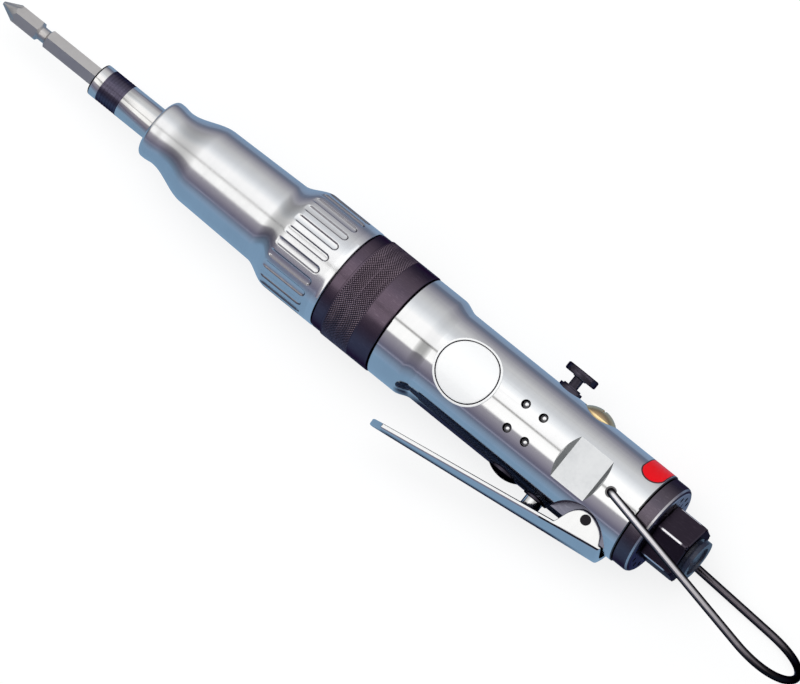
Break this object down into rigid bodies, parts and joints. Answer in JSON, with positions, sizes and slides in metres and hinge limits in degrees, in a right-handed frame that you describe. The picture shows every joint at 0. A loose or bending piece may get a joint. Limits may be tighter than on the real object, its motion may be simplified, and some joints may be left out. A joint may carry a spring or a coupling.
{
  "type": "pneumatic screwdriver",
  "caption": "Straight hand-held pneumatic screwdriver with a side lever throttle, knurled collar, reversing knob, quick-change bit chuck, hexagon air inlet and wire hanging bail.",
  "frame": {"origin": "on the spindle axis at the chuck sleeve's front face", "axes": "+X along the spindle axis from the bit to the air inlet, +Y toward the reversing knob with the lever at -Y, +Z out of the badge"},
  "size_m": [0.3393, 0.0555, 0.0396],
  "materials": {
    "bit": "matte grey tool steel",
    "spindle": "ground steel",
    "polished_ball": "polished",
    "chuck_sleeve": "polished",
    "black_band": "matte",
    "spring_steel": "drawn wire",
    "nose_aluminium": "satin",
    "bronze": "sintered bronze",
    "hardened_steel": "hardened and ground",
    "motor_iron": "honed",
    "vane": "phenolic laminate",
    "collar_steel": "blackened, knurled",
    "handle_steel": "polished",
    "badge": "white enamel",
    "black_part": "gloss black",
    "o_ring": "matte",
    "brass": "turned",
    "lever": "polished sheet",
    "black_pin": "blackened",
    "red_marker": "gloss red",
    "rear_cap": "dark anodised",
    "silencer": "felt",
    "inlet": "blackened",
    "dust_plug": "dark blue-black",
    "bail": "oil-blackened wire"
  },
  "bodies": {
    "housing": {"nose_housing": "nose_aluminium", "front_bush": "bronze", "gear_case": "motor_iron", "ring_gear": "hardened_steel", "gear_spacer": "motor_iron", "carrier_bearing": "hardened_steel", "motor_cylinder": "motor_iron", "front_end_plate": "motor_iron", "rear_end_plate": "motor_iron", "rotor_front_bearing": "hardened_steel", "rotor_rear_bearing": "hardened_steel", "handle_housing": "handle_steel", "badge": "badge", "passage_plugs": "polished_ball", "reverse_gland": "black_part", "reverse_end_cap": "black_part", "throttle_bush": "black_part", "valve_plug": "brass", "lever_pin": "black_pin", "red_marker": "red_marker", "inlet_bushing": "inlet", "inlet_screen": "brass", "inlet_o_ring": "o_ring"},
    "spindle_set": {"spindle": "spindle", "bit": "bit", "sleeve_retainer": "spring_steel", "sleeve_spring": "spring_steel", "clutch_adjusting_nut": "hardened_steel", "clutch_spring": "spring_steel", "clutch_driven_cam": "hardened_steel"},
    "sleeve_set": {"chuck_sleeve": "chuck_sleeve", "sleeve_band": "black_band"},
    "ball": {"retaining_ball": "polished_ball"},
    "carrier_set": {"planet_carrier": "hardened_steel", "planet_pins": "hardened_steel", "clutch_balls": "polished_ball"},
    "planet_a": {"planet_gear_a": "hardened_steel"},
    "planet_b": {"planet_gear_b": "hardened_steel"},
    "planet_c": {"planet_gear_c": "hardened_steel"},
    "rotor_set": {"rotor": "hardened_steel", "rotor_vanes": "vane"},
    "collar": {"knurled_collar": "collar_steel"},
    "lever_body": {"lever": "lever"},
    "throttle_set": {"throttle_plunger": "polished_ball", "throttle_ball": "o_ring", "throttle_spring": "spring_steel"},
    "reverse_set": {"reverse_spool": "spindle", "spool_o_rings": "o_ring", "reverse_knob": "black_part"},
    "cap_set": {"rear_cap": "rear_cap", "exhaust_silencer": "silencer"},
    "bail_body": {"bail": "bail"},
    "plug": {"dust_plug": "dust_plug"}
  },
  "joints": [
    {"name": "spindle_turn", "type": "hinge", "parent": "housing", "child": "spindle_set", "pos_m": [0.06, 0, 0], "axis": [1, 0, 0], "continuous": true},
    {"name": "carrier_turn", "type": "hinge", "parent": "housing", "child": "carrier_set", "pos_m": [0.1, 0, 0], "axis": [1, 0, 0], "continuous": true},
    {"name": "rotor_spin", "type": "hinge", "parent": "housing", "child": "rotor_set", "pos_m": [0.15, 0, 0], "axis": [1, 0, 0], "continuous": true},
    {"name": "sleeve_slide", "type": "slide", "parent": "spindle_set", "child": "sleeve_set", "axis": [-1, 0, 0], "range_m": [0, 0.0026], "stiffness_N_per_m": 800, "springref_m": -0.002, "deforming": ["sleeve_spring"]},
    {"name": "ball_lift", "type": "slide", "parent": "spindle_set", "child": "ball", "axis": [0, 1, 0], "range_m": [0, 0.000875]},
    {"name": "collar_turn", "type": "hinge", "parent": "housing", "child": "collar", "pos_m": [0.116, 0, 0], "axis": [1, 0, 0], "range_deg": [0, 270]},
    {"name": "lever_swing", "type": "hinge", "parent": "housing", "child": "lever_body", "pos_m": [0.2149, -0.0118, 0], "axis": [0, 0, -1], "range_deg": [0, 7.5], "stiffness_Nm_per_rad": 1.2, "springref_deg": -14.32},
    {"name": "throttle_stroke", "type": "slide", "parent": "housing", "child": "throttle_set", "axis": [0, 1, 0], "range_m": [0, 0.0026], "deforming": ["throttle_spring"]},
    {"name": "reverse_slide", "type": "slide", "parent": "housing", "child": "reverse_set", "axis": [0, -1, 0], "range_m": [0, 0.003]},
    {"name": "cap_turn", "type": "hinge", "parent": "housing", "child": "cap_set", "pos_m": [0.232, 0, 0], "axis": [1, 0, 0], "continuous": true},
    {"name": "bail_swing", "type": "hinge", "parent": "housing", "child": "bail_body", "pos_m": [0.2172, 0, 0], "axis": [0, 0, 1], "range_deg": [-130, 140]},
    {"name": "plug_pull", "type": "slide", "parent": "housing", "child": "plug", "axis": [1, 0, 0], "range_m": [0, 0.03]},
    {"name": "planet_a_turn", "type": "hinge", "parent": "carrier_set", "child": "planet_a", "pos_m": [0.117, 0, 0.0081], "axis": [1, 0, 0], "continuous": true},
    {"name": "planet_b_turn", "type": "hinge", "parent": "carrier_set", "child": "planet_b", "pos_m": [0.117, -0.00702, -0.00405], "axis": [1, 0, 0], "continuous": true},
    {"name": "planet_c_turn", "type": "hinge", "parent": "carrier_set", "child": "planet_c", "pos_m": [0.117, 0.00702, -0.00405], "axis": [1, 0, 0], "continuous": true}
  ],
  "couplings": [
    {"joint": "carrier_turn", "follows": "spindle_turn", "ratio": 1},
    {"joint": "rotor_spin", "follows": "spindle_turn", "ratio": 4.5},
    {"joint": "ball_lift", "follows": "sleeve_slide", "ratio": 0.33654},
    {"joint": "throttle_stroke", "follows": "lever_swing", "m_per_rad": 0.01907},
    {"joint": "planet_a_turn", "follows": "spindle_turn", "ratio": -2.8},
    {"joint": "planet_b_turn", "follows": "spindle_turn", "ratio": -2.8},
    {"joint": "planet_c_turn", "follows": "spindle_turn", "ratio": -2.8}
  ]
}
